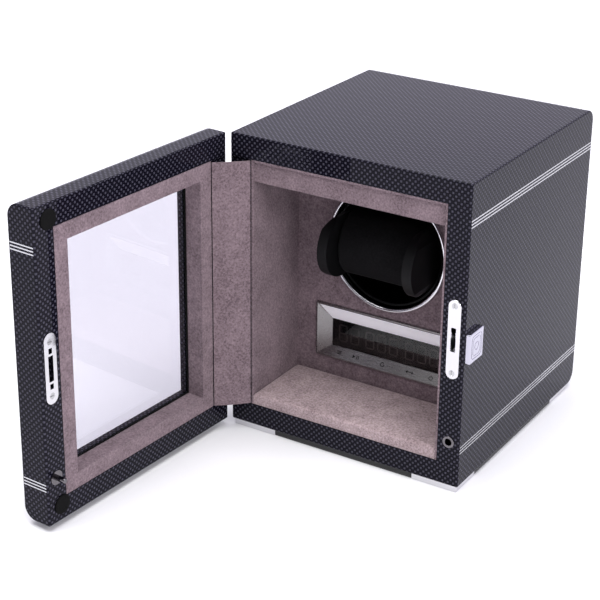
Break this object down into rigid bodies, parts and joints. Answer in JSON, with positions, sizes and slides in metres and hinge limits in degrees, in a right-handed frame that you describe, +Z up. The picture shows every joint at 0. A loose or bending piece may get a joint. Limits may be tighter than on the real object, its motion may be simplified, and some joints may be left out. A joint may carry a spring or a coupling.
{
  "type": "watch winder box",
  "caption": "Lacquered box with a glazed side-hinged door; behind it a motor-driven drum slowly turns a removable watch cuff above a small display.",
  "frame": {"origin": "middle of the base's underside, on the table", "axes": "+Z up, the open front looks to -Y, the door's hinge is on the -X side"},
  "size_m": [0.1935, 0.3303, 0.194],
  "materials": {
    "lacquer": "woven carbon pattern under clear gloss lacquer",
    "inlay_metal": "bright",
    "suede_board": "covered in taupe suede cloth",
    "suede_pad": "taupe suede cloth",
    "cuff_fabric": "black suede cloth",
    "cuff_shell": "covered in black suede cloth",
    "chrome": "polished",
    "satin_metal": "satin",
    "steel": "plated",
    "bronze": "sintered",
    "black_gloss": "gloss",
    "black_plastic": "fine texture",
    "board_green": "solder mask",
    "rubber": "matte",
    "glass": "clear",
    "black_wood": "black paint",
    "plain_wood": "sawn",
    "felt": "felt"
  },
  "bodies": {
    "cabinet": {"cabinet_shell": "lacquer", "cabinet_inlays": "inlay_metal", "corner_feet": "chrome", "foot_screws": "steel", "base_felt": "felt", "base_board": "black_wood", "compartment_lining": "suede_board", "header_board": "suede_board", "floor_pad": "suede_pad", "fascia_board": "suede_board", "fascia_cleats": "plain_wood", "drum_ring": "chrome", "display_bezel": "satin_metal", "screen_lens": "glass", "lcd_panel": "black_gloss", "control_board": "board_green", "board_components": "black_plastic", "drive_screws": "steel", "drum_housing": "black_plastic", "shaft_bearings": "bronze", "motor_mount": "steel", "gear_motor": "steel", "drive_belt": "rubber", "back_panel": "black_wood", "back_panel_screws": "steel", "power_jack": "black_plastic", "lock_plate": "chrome", "lock_screws": "steel", "lock_case": "steel", "hook_pin": "steel", "button_spring": "steel", "switch_ferrule": "chrome", "plunger_spring": "steel", "door_switch": "black_plastic", "cabinet_hinge_leaves": "chrome", "hinge_pins": "steel", "cabinet_hinge_screws": "steel", "hinge_cover": "suede_pad"},
    "door": {"door_frame": "lacquer", "door_inlays": "inlay_metal", "window_trim": "suede_board", "pane_gasket": "rubber", "window_pane": "glass", "strike_plate": "chrome", "strike_screws": "steel", "bumper_pads": "rubber", "door_pin": "chrome", "door_hinge_leaves": "chrome", "door_hinge_screws": "steel"},
    "drum": {"drum_cup": "black_gloss", "drum_shaft": "steel", "drum_pulley": "black_plastic"},
    "cuff": {"cuff_cheeks": "cuff_shell", "cuff_spine": "cuff_shell", "cuff_cushion": "cuff_fabric"},
    "motor_rotor": {"motor_shaft": "steel", "motor_pulley": "black_plastic"},
    "button": {"push_button": "chrome"},
    "hook": {"latch_hook": "steel"},
    "plunger": {"switch_plunger": "black_plastic"}
  },
  "joints": [
    {"name": "door_swing", "type": "hinge", "parent": "cabinet", "child": "door", "pos_m": [-0.0812, -0.0843, 0.099], "axis": [0, 0, 1], "range_deg": [0, 93.4], "deforming": ["hinge_cover"]},
    {"name": "drum_spin", "type": "hinge", "parent": "cabinet", "child": "drum", "pos_m": [0, 0.014, 0.1201], "axis": [0, -1, 0], "continuous": true},
    {"name": "motor_spin", "type": "hinge", "parent": "cabinet", "child": "motor_rotor", "pos_m": [0, 0.034, 0.058], "axis": [0, -1, 0], "continuous": true},
    {"name": "cuff_slide", "type": "slide", "parent": "drum", "child": "cuff", "axis": [0, -1, 0], "range_m": [0, 0.03]},
    {"name": "button_press", "type": "slide", "parent": "cabinet", "child": "button", "axis": [-1, 0, 0], "range_m": [0, 0.002], "stiffness_N_per_m": 400, "deforming": ["button_spring"]},
    {"name": "hook_swing", "type": "hinge", "parent": "cabinet", "child": "hook", "pos_m": [0.07275, -0.08, 0.089], "axis": [1, 0, 0], "range_deg": [0, 55]},
    {"name": "switch_press", "type": "slide", "parent": "cabinet", "child": "plunger", "axis": [0, 1, 0], "range_m": [0, 0.002], "stiffness_N_per_m": 200, "deforming": ["plunger_spring"]}
  ],
  "couplings": [
    {"joint": "motor_spin", "follows": "drum_spin", "ratio": 5}
  ]
}
